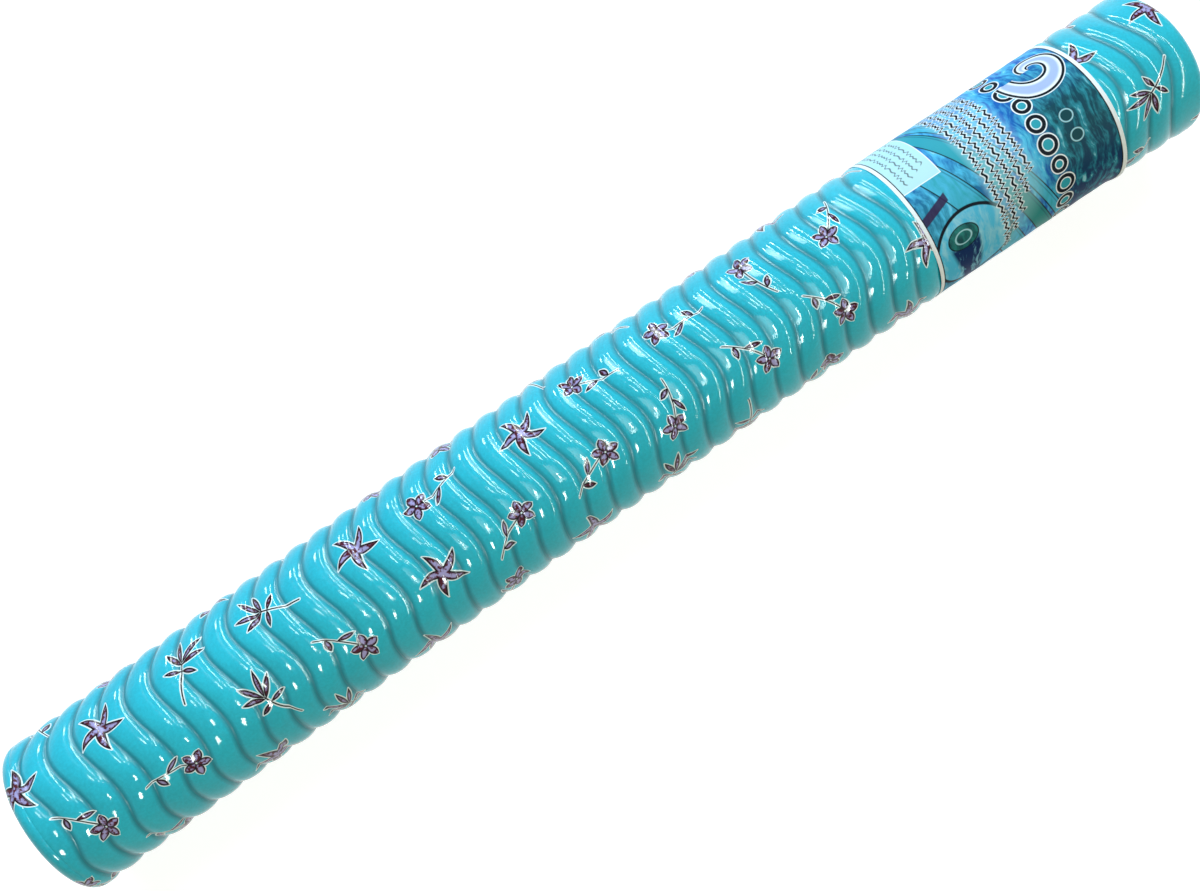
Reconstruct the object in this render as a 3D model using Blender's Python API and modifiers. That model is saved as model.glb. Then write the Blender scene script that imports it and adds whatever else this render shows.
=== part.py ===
"""Pool noodle: a wave-ribbed foam core, its dipped vinyl skin, the plug over the hook hole and a wrap label.

Metres, +Z up. The noodle lies along X on the plane z = 0, with the label nearer its +X end. Each piece is
turned about its own Z axis first, and then laid along X, so "height" below is a place along the noodle.
"""

import math

import bpy
import numpy as np

# Driving dimensions of the whole noodle
NOODLE_LENGTH = 1.168
CREST_RADIUS = 0.070
SIDE_BOW = 0.007
REST_FLAT_DEPTH = 0.0005
FIT_GAP = 0.0003

# Ribs: a ring every pitch, pushed along the noodle by a wave that runs round it
RIB_PITCH = 0.0246
RIB_DEPTH = 0.003
WAVE_REACH = 0.0055
WAVES_ROUND = 4
WAVE_SKEW_SHARE = 0.48
WAVE_CREST_ANGLE = math.radians(18)

# Rounded ends, and the smooth band between each end's rim and its first groove
RIM_RADIUS = 0.011
RIM_STEPS = 3
PLAIN_END_BAND = 0.016
LABEL_END_BAND = 0.022

# Skin
SKIN_WALL = 0.001

# Hook hole and its plug, in the +X end
HOOK_BORE_RADIUS = 0.003
HOOK_BORE_DEPTH = 0.040
PLUG_HEAD_RADIUS = 0.005
PLUG_STEM_LENGTH = 0.008
PLUG_RECESS = 0.0002

# Label
LABEL_WIDTH = 0.199
LABEL_FROM_END = 0.0905
LABEL_FILM = 0.0004
LABEL_SQUEEZE = 0.0009
LABEL_STEPS = 4

# Facets round every turned piece
FACETS = 24

# One overrun for the cut that makes the resting flats
CUT_OVERRUN = 0.010

# Values that follow from those above
half_length = NOODLE_LENGTH / 2
first_groove = half_length - RIM_RADIUS - LABEL_END_BAND
last_groove = RIM_RADIUS + PLAIN_END_BAND - half_length
rib_count = round((first_groove - last_groove) / RIB_PITCH)
rib_spacing = (first_groove - last_groove) / rib_count
apothem_share = math.cos(math.pi / FACETS)
axis_height = CREST_RADIUS * apothem_share - REST_FLAT_DEPTH
core_inset = SKIN_WALL + FIT_GAP
label_top = half_length - LABEL_FROM_END
label_bottom = label_top - LABEL_WIDTH
label_outer_radius = CREST_RADIUS - LABEL_SQUEEZE
label_inner_radius = label_outer_radius - LABEL_FILM
squeezed_radius = label_inner_radius - FIT_GAP
# A crest beside the label is held down too, until its flank and its wave clear the label's edge
crest_drop = CREST_RADIUS - squeezed_radius
squeeze_margin = crest_drop / RIB_DEPTH * rib_spacing / 2 + WAVE_REACH + FIT_GAP


def clear_scene():
    for old in list(bpy.data.objects):
        bpy.data.objects.remove(old, do_unlink=True)


def new_collection(name):
    collection = bpy.data.collections.new(name)
    bpy.context.scene.collection.children.link(collection)
    return collection


def principled(name, color, roughness, metallic=0.0):
    material = bpy.data.materials.new(name)
    material.use_nodes = True
    shader = material.node_tree.nodes["Principled BSDF"]
    shader.inputs["Base Color"].default_value = (*color, 1.0)
    shader.inputs["Roughness"].default_value = roughness
    shader.inputs["Metallic"].default_value = metallic
    return material


def rim_arc(inset):
    """The rounded rim of the upper end, from its flat face out to the first crest."""
    bend = RIM_RADIUS - inset
    angles = np.linspace(0, math.pi / 2, RIM_STEPS + 1)
    radii = CREST_RADIUS - RIM_RADIUS + bend * np.sin(angles)
    heights = half_length - RIM_RADIUS + bend * np.cos(angles)
    return list(zip(radii, heights))


def ribbed_side(inset):
    """Radius and height of the noodle's outline, this far inside its surface, from the upper end down."""
    upper = rim_arc(inset)
    lower = [(radius, -height) for radius, height in reversed(upper)]
    upper_crest = (CREST_RADIUS - inset, first_groove + LABEL_END_BAND / 2)
    lower_crest = (CREST_RADIUS - inset, last_groove - PLAIN_END_BAND / 2)
    ribs = []
    for half_rib in range(2 * rib_count + 1):
        is_groove = half_rib % 2 == 0
        radius = CREST_RADIUS - (RIB_DEPTH if is_groove else 0)
        height = first_groove - half_rib * rib_spacing / 2
        if label_bottom - squeeze_margin < height < label_top + squeeze_margin:
            radius = min(radius, squeezed_radius)
        ribs.append((radius - inset, height))
    return upper + [upper_crest] + ribs + [lower_crest] + lower


def turned_mesh(name, outline, closed=False):
    """The mesh of an outline turned about Z by a Screw modifier, with a flat side facing +X."""
    points = [(radius, 0, height) for radius, height in outline]
    edges = [(i, i + 1) for i in range(len(points) - 1)]
    if closed:
        edges.append((len(points) - 1, 0))
    profile_mesh = bpy.data.meshes.new(name + "_profile")
    profile_mesh.from_pydata(points, edges, [])
    profile = bpy.data.objects.new(name + "_profile", profile_mesh)
    bpy.context.scene.collection.objects.link(profile)
    screw = profile.modifiers.new("turn", "SCREW")
    screw.axis = "Z"
    screw.angle = 2 * math.pi
    screw.steps = FACETS
    screw.render_steps = FACETS
    screw.use_merge_vertices = True
    screw.merge_threshold = 0.00001
    graph = bpy.context.evaluated_depsgraph_get()
    mesh = bpy.data.meshes.new_from_object(profile.evaluated_get(graph))
    mesh.name = name
    bpy.data.objects.remove(profile, do_unlink=True)
    bpy.data.meshes.remove(profile_mesh)
    spots = read_points(mesh)
    half_facet = math.pi / FACETS
    x, y = spots[:, 0].copy(), spots[:, 1].copy()
    spots[:, 0] = x * math.cos(half_facet) - y * math.sin(half_facet)
    spots[:, 1] = x * math.sin(half_facet) + y * math.cos(half_facet)
    write_points(mesh, spots)
    return mesh


def read_points(mesh):
    flat = np.empty(len(mesh.vertices) * 3, dtype=np.float32)
    mesh.vertices.foreach_get("co", flat)
    return flat.reshape(-1, 3).astype(float)


def write_points(mesh, spots):
    mesh.vertices.foreach_set("co", spots.astype(np.float32).ravel())
    mesh.update()


def wave_the_ribs(spots):
    """Push the ribs along the noodle by the wave that runs round it, fading out at both ends."""
    outside = np.hypot(spots[:, 0], spots[:, 1]) > CREST_RADIUS / 2
    # the angle is 0 at the top of the lying noodle and grows towards its -Y side
    angle = np.arctan2(-spots[:, 1], -spots[:, 0]) - WAVE_CREST_ANGLE
    wave = WAVE_REACH * np.cos(WAVES_ROUND * angle - WAVE_SKEW_SHARE * np.sin(angle))
    to_end = half_length - np.abs(spots[:, 2])
    fade = np.clip((to_end - RIM_RADIUS) / PLAIN_END_BAND, 0, 1)
    spots[:, 2] += np.where(outside, wave * fade, 0)


def bow_sideways(spots):
    """Bend the whole noodle a little towards its +Y side, as a soft bar lies."""
    spots[:, 1] += SIDE_BOW * (1 / 2 - (spots[:, 2] / half_length) ** 2)


def lay_down(name, mesh, material, collection):
    """Place a turned piece along X, at its height over the floor."""
    mesh.materials.clear()
    mesh.materials.append(material)
    mesh.shade_smooth()
    mesh.set_sharp_from_angle(angle=math.radians(40))
    piece = bpy.data.objects.new(name, mesh)
    piece.rotation_euler = (0, math.radians(90), 0)
    piece.location = (0, 0, axis_height)
    # the shortest diagonal splits the skin's two walls and the core alike, so they stay apart
    split = piece.modifiers.new("facets", "TRIANGULATE")
    split.quad_method = "SHORTEST_DIAGONAL"
    collection.objects.link(piece)
    return piece


def make_foam_core(collection):
    """The foam bar, with the blind hole that its hook left in the +X end."""
    end_height = half_length - core_inset
    bore_floor = end_height - HOOK_BORE_DEPTH
    bore = [(0, bore_floor), (HOOK_BORE_RADIUS, bore_floor), (HOOK_BORE_RADIUS, end_height)]
    outline = bore + ribbed_side(core_inset) + [(0, -end_height)]
    mesh = turned_mesh("foam_core", outline)
    spots = read_points(mesh)
    wave_the_ribs(spots)
    bow_sideways(spots)
    write_points(mesh, spots)
    foam = principled("closed_cell_foam", (0.55, 0.72, 0.74), 0.9)
    return lay_down("foam_core", mesh, foam, collection)


def make_vinyl_skin(collection):
    """The dipped coat: up its inside, out through the plug's hole, and down its ribbed outside."""
    hole_radius = PLUG_HEAD_RADIUS + FIT_GAP
    inner_end = half_length - SKIN_WALL
    inside = [(0, -inner_end)] + ribbed_side(SKIN_WALL)[::-1] + [(hole_radius, inner_end)]
    outside = [(hole_radius, half_length)] + ribbed_side(0) + [(0, -half_length)]
    mesh = turned_mesh("vinyl_skin", inside + outside)
    spots = read_points(mesh)
    wave_the_ribs(spots)
    bow_sideways(spots)
    write_points(mesh, spots)
    vinyl = principled("printed_vinyl", (0.02, 0.50, 0.60), 0.25)
    return lay_down("vinyl_skin", mesh, vinyl, collection)


def make_dip_hole_plug(collection):
    """The dab of vinyl in the skin's hole, with a stem down the hook hole."""
    face = half_length - PLUG_RECESS
    seat = half_length - SKIN_WALL
    stem_radius = HOOK_BORE_RADIUS - FIT_GAP
    stem_end = seat - PLUG_STEM_LENGTH
    outline = [
        (0, face),
        (PLUG_HEAD_RADIUS, face),
        (PLUG_HEAD_RADIUS, seat),
        (stem_radius, seat),
        (stem_radius, stem_end),
        (0, stem_end),
    ]
    mesh = turned_mesh("dip_hole_plug", outline)
    spots = read_points(mesh)
    bow_sideways(spots)
    write_points(mesh, spots)
    dab = principled("vinyl_dab", (0.02, 0.46, 0.56), 0.3)
    return lay_down("dip_hole_plug", mesh, dab, collection)


def make_label_sleeve(collection):
    """The printed film, a tight tube that runs straight from crest to crest."""
    heights = np.linspace(label_top, label_bottom, LABEL_STEPS + 1)
    outer = [(label_outer_radius, height) for height in heights]
    inner = [(label_inner_radius, height) for height in heights[::-1]]
    mesh = turned_mesh("label_sleeve", outer + inner, closed=True)
    spots = read_points(mesh)
    bow_sideways(spots)
    write_points(mesh, spots)
    film = principled("label_film", (0.10, 0.36, 0.62), 0.2)
    return lay_down("label_sleeve", mesh, film, collection)


def flatten_underside(skin, cutters):
    """Cut the lowest crests flat at the floor, where the soft noodle rests on them."""
    width = 2 * (CREST_RADIUS + SIDE_BOW + CUT_OVERRUN)
    depth = REST_FLAT_DEPTH + CUT_OVERRUN
    bpy.ops.mesh.primitive_cube_add(size=1, location=(0, 0, -depth / 2))
    cutter = bpy.context.object
    cutter.name = "floor_cutter"
    cutter.dimensions = (NOODLE_LENGTH + 2 * CUT_OVERRUN, width, depth)
    bpy.ops.object.transform_apply(location=False, rotation=False, scale=True)
    for home in list(cutter.users_collection):
        home.objects.unlink(cutter)
    cutters.objects.link(cutter)
    cutter.hide_render = True
    cutter.display_type = "WIRE"
    cut = skin.modifiers.new("resting_flats", "BOOLEAN")
    cut.operation = "DIFFERENCE"
    cut.solver = "EXACT"
    cut.object = cutter


def main():
    clear_scene()
    pieces = new_collection("pool_noodle")
    cutters = new_collection("cutters")
    make_foam_core(pieces)
    skin = make_vinyl_skin(pieces)
    make_dip_hole_plug(pieces)
    make_label_sleeve(pieces)
    flatten_underside(skin, cutters)
    print("ribs:", rib_count, "spacing:", round(rib_spacing, 5), "axis height:", round(axis_height, 5))


main()
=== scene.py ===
import math

import bmesh
import bpy
import numpy as np
from mathutils import Matrix, Vector


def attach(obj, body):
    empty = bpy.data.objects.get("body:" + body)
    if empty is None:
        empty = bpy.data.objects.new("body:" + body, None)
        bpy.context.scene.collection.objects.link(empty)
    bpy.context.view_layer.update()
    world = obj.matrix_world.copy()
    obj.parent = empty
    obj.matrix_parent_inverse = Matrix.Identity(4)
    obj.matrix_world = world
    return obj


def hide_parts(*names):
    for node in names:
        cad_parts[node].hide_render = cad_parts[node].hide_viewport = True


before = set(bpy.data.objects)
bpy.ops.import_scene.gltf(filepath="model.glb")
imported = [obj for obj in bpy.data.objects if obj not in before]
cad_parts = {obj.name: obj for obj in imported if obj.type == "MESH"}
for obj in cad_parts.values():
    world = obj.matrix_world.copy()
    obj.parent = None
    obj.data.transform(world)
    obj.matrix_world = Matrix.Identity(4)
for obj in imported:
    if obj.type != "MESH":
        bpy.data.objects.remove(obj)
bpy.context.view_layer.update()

print("frame loaded:", sorted(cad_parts))

# The lying noodle, in metres: +X towards the label, +Z up. Angles start at the top and grow towards -Y.
noodle = {
    "halfLength": 0.584,
    "crestRadius": 0.0697,
    "axisHeight": 0.0689,
    "sideBow": 0.00713,
    "rimRadius": 0.011,
    "plainBand": 0.016,      # smooth band between the plain end's rim and its first groove
    "labelBand": 0.022,      # the same at the label end, after the last groove
    "creaseWidth": 0.0020,   # the plain end's rim starts at a thin crease
    "creaseDepth": 0.0005,
    "ribCount": 45,
    "ribDepth": 0.0031,
    "endDepthLoss": 0.30,    # the ribs beyond the wrap are shallower, by a ramp that starts under its edge
    "endDepthStart": 0.01,
    "endDepthRamp": 0.03,
    "grooveSoftness": 0.05,  # rounds the bottom of each groove
    "grooveSharpness": 2.4,
    "wavesRound": 4,
    "waveReach": 0.0061,
    "waveSkew": 0.48,
    "waveTilt": 0.0012,      # leans the ribs a little, forwards on the +Y side
    "waveCrest": math.radians(20.8),
    "crestSlope": math.radians(-2.9),  # how the crest's angle goes with the place, in spans from the middle
    "crestBend": math.radians(-7.0),
    "waveMiddle": -0.15,
    "waveSpan": 0.40,
    "spanLimit": 1.1,        # the wave stops changing this many spans from the middle
    "calmShare": 0.52,       # how much weaker the wave is low on the -Y side, and how that goes along
    "calmSlope": -0.34,
    "calmStart": math.radians(30),
    "calmRamp": math.radians(40),
    "calmEnd": math.radians(60),
    "driftMean": -0.0020,    # slow drift of the ribs along the noodle, where the mould let them
    "driftReach": 0.0016,
    "driftCrest": -0.271,
    "driftLength": 0.79,
    "driftEnd": 0.28,        # from here on the drift fades out
    "driftFade": 0.16,
    "restCorner": 0.0003,    # rounds the corner where the underside is pressed flat
    "coatWall": 0.001,
    "foamGap": 0.0013,
    "holeRadius": 0.0053,
    "around": 144,           # columns round the noodle
    "sharpAngle": math.radians(60),
}
# How uneven the moulding is: share or metres, seed, number of sines, longest length and most turns round
moulding = {
    "depth": (0.10, 3, 6, 0.16, 3),
    "wave": (0.04, 5, 5, 0.20, 2),
    "place": (0.0004, 7, 8, 0.06, 4),
    "radius": (0.00018, 11, 7, 0.12, 3),
}
firstGroove = -noodle["halfLength"] + noodle["rimRadius"] + noodle["plainBand"]
lastGroove = noodle["halfLength"] - noodle["rimRadius"] - noodle["labelBand"]
ribPitch = (lastGroove - firstGroove) / noodle["ribCount"]

wrap = {
    "start": 0.2945,
    "end": 0.4938,
    "radius": 0.0688,
    "film": 0.00022,
    "crestUnder": 0.0683,    # the foam is squeezed to this under the film
    "squeezeGive": 0.0022,   # how much higher the limit is, a ramp away from the film
    "squeezeRamp": 0.013,
    "squeezeCorner": 0.0005,
    "freeRoom": 0.0008,      # beyond the film the crests come back over this ramp
    "freeRamp": 0.03,
    "lift": 0.0022,          # how far the edge stands off on the -Y side
    "liftMiddle": math.radians(80),
    "liftSpan": math.radians(42),
    "liftReach": 0.013,
    "liftPower": 1.4,
    "lap": 0.21,             # radians of film glued over its start
    "lapStart": math.radians(-132),
    "lapRamp": 0.06,
    "lapRise": 1.3,          # in film thicknesses
    "dip": 0.00022,          # between the crests
    "dipRamp": 0.012,
    "curl": (0.0006, 23, 5, 0.40, 3),  # of the edges, and the pucker all over, given as the moulding is
    "curlRamp": 0.005,
    "pucker": (0.00010, 29, 9, 0.05, 6),
    "floorGap": 0.00005,
    "endGap": 0.003,         # radians over which the strip's ends thin to nothing
    "around": 220,           # rows round the noodle and columns along it
    "along": 130,
    "roughness": 0.35,
    "ior": 1.09,
    "bump": 0.3,
    "bumpDepth": 0.0002,
    "grain": {"Pebbles": 500.0, "Waves": 60.0, "Wave Share": 1.0},
}


def smoothStep(x):
    # 0 below 0, 1 above 1 and an S between them: 3x^2 - 2x^3
    x = np.clip(x, 0, 1)
    return x * x * (3 - 2 * x)


def softMin(a, b, width):
    # the smaller of two values, with the corner between them rounded by a hyperbola
    return (a + b - np.sqrt((a - b) ** 2 + width ** 2)) / 2


def bowAt(x):
    # sideways bend: a parabola that is half the bow at the middle and minus half at the ends
    return noodle["sideBow"] * (0.5 - (x / noodle["halfLength"]) ** 2)


def waveAt(x, angle):
    # push along the noodle: a cosine with four waves round, slowed and hurried by a sine once round, and
    # leant by another. The crest's angle is a parabola along the noodle. The wave is calmer on the -Y side
    limit = noodle["spanLimit"]
    spans = np.clip((x - noodle["waveMiddle"]) / noodle["waveSpan"], -limit, limit)
    angle = np.remainder(angle + np.pi, 2 * np.pi) - np.pi
    turn = angle - noodle["waveCrest"] - noodle["crestSlope"] * spans - noodle["crestBend"] * spans ** 2
    wave = noodle["waveReach"] * np.cos(noodle["wavesRound"] * turn - noodle["waveSkew"] * np.sin(turn))
    low = smoothStep((angle - noodle["calmStart"]) / noodle["calmRamp"])
    low = low * smoothStep((np.pi - angle) / noodle["calmEnd"])
    calm = (noodle["calmShare"] + noodle["calmSlope"] * spans) * low
    return wave * (1 - calm) - noodle["waveTilt"] * np.sin(angle)


def driftAt(x):
    # a cosine along the noodle that fades out under the wrap
    swing = noodle["driftReach"] * np.cos(2 * np.pi * (x - noodle["driftCrest"]) / noodle["driftLength"])
    return (noodle["driftMean"] + swing) * (1 - smoothStep((x - noodle["driftEnd"]) / noodle["driftFade"]))


def grooveShare(x):
    # 1 at a groove and 0 on a crest: one minus the share of the way from the nearest groove to the crest,
    # raised to a power, for broad crests with round shoulders. A hyperbola rounds the groove's bottom.
    # Outside the last grooves the way runs on for half a pitch, and then the end band stays on the crest
    inPitches = (x - firstGroove) / ribPitch
    beyond = np.maximum(-inPitches, inPitches - noodle["ribCount"])
    distance = np.where(beyond > 0, np.minimum(beyond, 0.5), np.abs(inPitches - np.round(inPitches)))
    soft = noodle["grooveSoftness"]
    way = (np.sqrt(distance ** 2 + soft ** 2) - soft) / (math.sqrt(0.25 + soft ** 2) - soft)
    return (1 - way) ** noodle["grooveSharpness"]


def unevenness(x, angle, size, seed, count, spanX, spanRound):
    # slow, smooth variation of about plus or minus a size: a sum of sines with seeded directions and phases
    draw = np.random.default_rng(seed)
    total = 0
    for _ in range(count):
        perMetre = 2 * math.pi * draw.uniform(0.4, 1.0) / spanX
        turns = draw.integers(-spanRound, spanRound + 1)
        total = total + np.sin(perMetre * x + turns * angle + draw.uniform(0, 2 * math.pi))
    return size * (total / math.sqrt(count / 2) / 2)


def sideRows(stepsPerRib, bandSteps, crowding=0.11, creaseSteps=4):
    # mean places of the rows along the side, closer together at the grooves: the share of the way through
    # each rib, less a sine of it
    way = np.arange(stepsPerRib) / stepsPerRib
    way = way - crowding * np.sin(2 * np.pi * way)
    ribs = firstGroove + ribPitch * (np.arange(noodle["ribCount"])[:, None] + way[None, :]).ravel()
    rimEdge = noodle["halfLength"] - noodle["rimRadius"]
    creaseEnd = noodle["creaseWidth"] - rimEdge
    crease = np.linspace(-rimEdge, creaseEnd, creaseSteps, endpoint=False)
    before = np.linspace(creaseEnd, firstGroove, bandSteps, endpoint=False)
    after = np.linspace(lastGroove, rimEdge, bandSteps + 1)
    return np.concatenate([crease, before, ribs, after])


def outlineRows(inset, stepsPerRib, bandSteps, rimSteps, faceSteps, holeRadius):
    # mean place, radius without ribs and share of ribs for each row, from the plain end's middle to the hole
    # in the label end. The rim is a quarter circle, and the flat faces are rings about the axis
    half, rim, crest = noodle["halfLength"], noodle["rimRadius"], noodle["crestRadius"]
    side = sideRows(stepsPerRib, bandSteps)
    bend = rim - inset
    turn = np.linspace(0, np.pi / 2, rimSteps + 1)[:-1]
    rimRadii = crest - rim + bend * np.sin(turn)
    rimPlaces = half - rim + bend * np.cos(turn)
    plainFace = np.linspace(0, crest - rim, faceSteps + 1)[1:-1]
    labelFace = np.linspace(holeRadius, crest - rim, faceSteps + 1)[:-1][::-1]
    places = np.concatenate([
        np.full(len(plainFace), inset - half), -rimPlaces, side, rimPlaces[::-1],
        np.full(len(labelFace), half - inset),
    ])
    sideRadii = np.full(len(side), crest - inset)
    radii = np.concatenate([plainFace, rimRadii, sideRadii, rimRadii[::-1], labelFace])
    plainRows, labelRows = len(plainFace) + len(rimRadii), len(rimRadii) + len(labelFace)
    ribShare = np.concatenate([np.zeros(plainRows), np.ones(len(side)), np.zeros(labelRows)])
    return places, radii, ribShare


def noodlePoints(places, radii, ribShare, inset, angles):
    # points of the noodle's surface on a grid of rows and angles.
    # radius = crest - groove depth * groove share, held down under the film, and shifted along by the wave
    half, rim = noodle["halfLength"], noodle["rimRadius"]
    x, angle = np.meshgrid(places, angles, indexing="ij")
    base = np.repeat(radii[:, None], len(angles), 1)
    share = np.repeat(ribShare[:, None], len(angles), 1)
    depth = noodle["ribDepth"] * (1 + unevenness(x, angle, *moulding["depth"]))
    beyondWrap = (x - wrap["end"] + noodle["endDepthStart"]) / noodle["endDepthRamp"]
    depth = depth * (1 - noodle["endDepthLoss"] * smoothStep(beyondWrap))
    radius = base - share * depth * grooveShare(x)
    inCrease = np.clip((x + half - rim) / noodle["creaseWidth"], 0, 1)
    radius = radius - share * noodle["creaseDepth"] * (0.5 - 0.5 * np.cos(2 * np.pi * inCrease))
    toEnd = np.clip((half - rim - np.abs(x)) / noodle["plainBand"], 0, 1)
    wave = waveAt(x, angle) * (1 + unevenness(x, angle, *moulding["wave"]))
    place = x + share * smoothStep(toEnd) * (wave + driftAt(x))
    place = place + share * toEnd * unevenness(x, angle, *moulding["place"])
    outside = np.maximum(wrap["start"] - place, place - wrap["end"])
    limit = wrap["crestUnder"] - inset + wrap["squeezeGive"] * smoothStep(outside / wrap["squeezeRamp"])
    squeezed = softMin(radius, limit, wrap["squeezeCorner"])
    squeezed = squeezed + wrap["freeRoom"] * smoothStep(outside / wrap["freeRamp"])
    radius = np.where(share > 0, np.minimum(radius, squeezed), radius)
    radius = radius + share * unevenness(place, angle, *moulding["radius"])
    y = bowAt(place) - radius * np.sin(angle)
    z = noodle["axisHeight"] + radius * np.cos(angle)
    z = -softMin(-z, -inset, noodle["restCorner"])  # pressed flat where it rests on the floor
    return np.stack([place, y, np.maximum(z, inset)], -1)


def gridMesh(name, points, poleStart=None, poleEnd=None):
    # a mesh from a grid of points (rows, columns) that closes round, facing out where rows run along +X and
    # columns turn from the top towards -Y. A pole closes an end with a fan. Also returns each face corner's
    # row and column, where a pole is one row beyond its end
    rows, cols = points.shape[:2]
    verts = points.reshape(-1, 3)
    r, c = np.meshgrid(np.arange(rows - 1), np.arange(cols), indexing="ij")
    r, c = r.ravel(), c.ravel()
    cornerRows = [np.stack([r, r, r + 1, r + 1], -1).ravel()]
    cornerCols = [np.stack([c, c + 1, c + 1, c], -1).ravel()]
    corners = [cornerRows[0] * cols + cornerCols[0] % cols]
    sizes = [np.full(len(r), 4)]
    for pole, row, order in ((poleStart, 0, (1, 0)), (poleEnd, rows - 1, (0, 1))):
        if pole is None:
            continue
        c = np.arange(cols)
        fanCols = np.stack([c + order[0], c + order[1], c + 0.5], -1)
        fan = row * cols + fanCols.astype(int) % cols
        fan[:, 2] = len(verts)
        verts = np.concatenate([verts, [pole]])
        corners.append(fan.ravel())
        fanRows = np.full(fan.shape, row)
        fanRows[:, 2] = -1 if row == 0 else rows
        cornerRows.append(fanRows.ravel())
        cornerCols.append(fanCols.ravel())
        sizes.append(np.full(cols, 3))
    corners, sizes = np.concatenate(corners), np.concatenate(sizes)
    mesh = bpy.data.meshes.new(name)
    mesh.vertices.add(len(verts))
    mesh.vertices.foreach_set("co", verts.astype(np.float32).ravel())
    mesh.loops.add(len(corners))
    mesh.loops.foreach_set("vertex_index", corners.astype(np.int32))
    mesh.polygons.add(len(sizes))
    mesh.polygons.foreach_set("loop_start", np.concatenate([[0], np.cumsum(sizes)[:-1]]).astype(np.int32))
    mesh.update(calc_edges=True)
    mesh.shade_smooth()
    mesh.set_sharp_from_angle(angle=noodle["sharpAngle"])
    return mesh, np.concatenate(cornerRows), np.concatenate(cornerCols)


def addUvs(mesh, name, u, v):
    # a UV map with one pair of coordinates for each face corner
    layer = mesh.uv_layers.new(name=name, do_init=False)
    layer.uv.foreach_set("vector", np.stack([u, v], -1).astype(np.float32).ravel())


def bakeBands(mesh, row, roundShare, measure, cuts, heights, gap=0.006):
    # the export's own map: rows laid into bands of the unit square, cut at some rows.
    # measure says how far along each row lies, with one more at both ends for the poles
    starts = np.zeros(len(mesh.polygons), np.int32)
    mesh.polygons.foreach_get("loop_start", starts)
    sizes = np.diff(np.append(starts, len(row)))
    lowest = np.repeat(np.minimum.reduceat(row, starts), sizes)
    u, v, bottom = np.zeros(len(row)), np.zeros(len(row)), 0
    for first, last, height in zip(cuts[:-1], cuts[1:], heights):
        here = (lowest >= first) & (lowest < last)
        share = (measure[row + 1] - measure[first + 1]) / (measure[last + 1] - measure[first + 1])
        u = np.where(here, gap + (1 - 2 * gap) * share, u)
        v = np.where(here, bottom + gap + (height - 2 * gap) * roundShare, v)
        bottom += height
    addUvs(mesh, "OFBake", u, v)


def newObject(name, data):
    # an object in the scene
    made = bpy.data.objects.new(name, data)
    bpy.context.scene.collection.objects.link(made)
    return made


def addPiece(mesh, material, replaced):
    # the finished mesh as a piece on root, in the place of a CAD node
    piece = newObject(mesh.name, mesh)
    mesh.materials.append(material)
    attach(piece, "root")
    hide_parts(replaced)
    return piece


def feed(tree, slot, value):
    # puts a field, another node's socket, a colour or a number on a socket
    if isinstance(value, Field):
        value = value.socket
    if isinstance(value, bpy.types.NodeSocket):
        tree.links.new(value, slot)
    else:
        slot.default_value = (*value, 1) if isinstance(value, tuple) else value


# Patterns are sums of fields. A field is a number over the surface, held by a shader socket.
class Field:
    def __init__(self, tree, socket):
        self.tree, self.socket = tree, socket

    def calc(self, operation, *values, clamp=False):
        node = self.tree.nodes.new("ShaderNodeMath")
        node.operation, node.use_clamp = operation, clamp
        for slot, value in zip(node.inputs, values):
            feed(self.tree, slot, value)
        return Field(self.tree, node.outputs[0])

    def __add__(self, other): return self.calc("ADD", self, other)
    def __sub__(self, other): return self.calc("SUBTRACT", self, other)
    def __rsub__(self, other): return self.calc("SUBTRACT", other, self)
    def __mul__(self, other): return self.calc("MULTIPLY", self, other)
    def __truediv__(self, other): return self.calc("DIVIDE", self, other)
    __radd__ = __add__

    def sin(self): return self.calc("SINE", self)
    def cos(self): return self.calc("COSINE", self)
    def abs(self): return self.calc("ABSOLUTE", self)
    def floor(self): return self.calc("FLOOR", self)
    def root(self): return self.calc("SQRT", self)
    def above(self, limit): return self.calc("GREATER_THAN", self, limit)
    def least(self, other): return self.calc("MINIMUM", self, other)
    def most(self, other): return self.calc("MAXIMUM", self, other)
    def folded(self, low, high): return self.calc("WRAP", self, high, low)
    def long(self, other): return (self * self + other * other).root()
    def mixed(self, other, share): return self + (other - self) * share

    def rise(self, low, high):
        # 0 up to low, 1 from high on and a straight ramp between them
        return self.calc("MULTIPLY_ADD", self, 1 / (high - low), -low / (high - low), clamp=True)

    def fall(self, low, high):
        # 1 up to low and 0 from high on
        return 1 - self.rise(low, high)


def newGroup(name, inputs=(), outputs=()):
    # an empty shader group with float inputs (name, value) and outputs (name, kind)
    tree = bpy.data.node_groups.new(name, "ShaderNodeTree")
    for label, value in inputs:
        socket = tree.interface.new_socket(name=label, in_out="INPUT", socket_type="NodeSocketFloat")
        socket.default_value = value
    for label, kind in outputs:
        tree.interface.new_socket(name=label, in_out="OUTPUT", socket_type="NodeSocket" + kind)
    source, sink = tree.nodes.new("NodeGroupInput"), tree.nodes.new("NodeGroupOutput")
    return tree, source, sink


def texture(tree, kind, vector, scale, **settings):
    # the field of a texture node on a vector socket, with its sockets' values by name
    node = tree.nodes.new("ShaderNodeTex" + kind)
    for key, value in (("Vector", vector), ("Scale", scale), *settings.items()):
        feed(tree, node.inputs[key], value)
    return Field(tree, node.outputs[0])


def surfaceMap(tree, name):
    # fields, in millimetres, of the two coordinates of a piece's own UV map
    source, split = tree.nodes.new("ShaderNodeUVMap"), tree.nodes.new("ShaderNodeSeparateXYZ")
    source.uv_map = name
    feed(tree, split.inputs[0], source.outputs[0])
    return Field(tree, split.outputs[0]) * 1000, Field(tree, split.outputs[1]) * 1000


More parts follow.
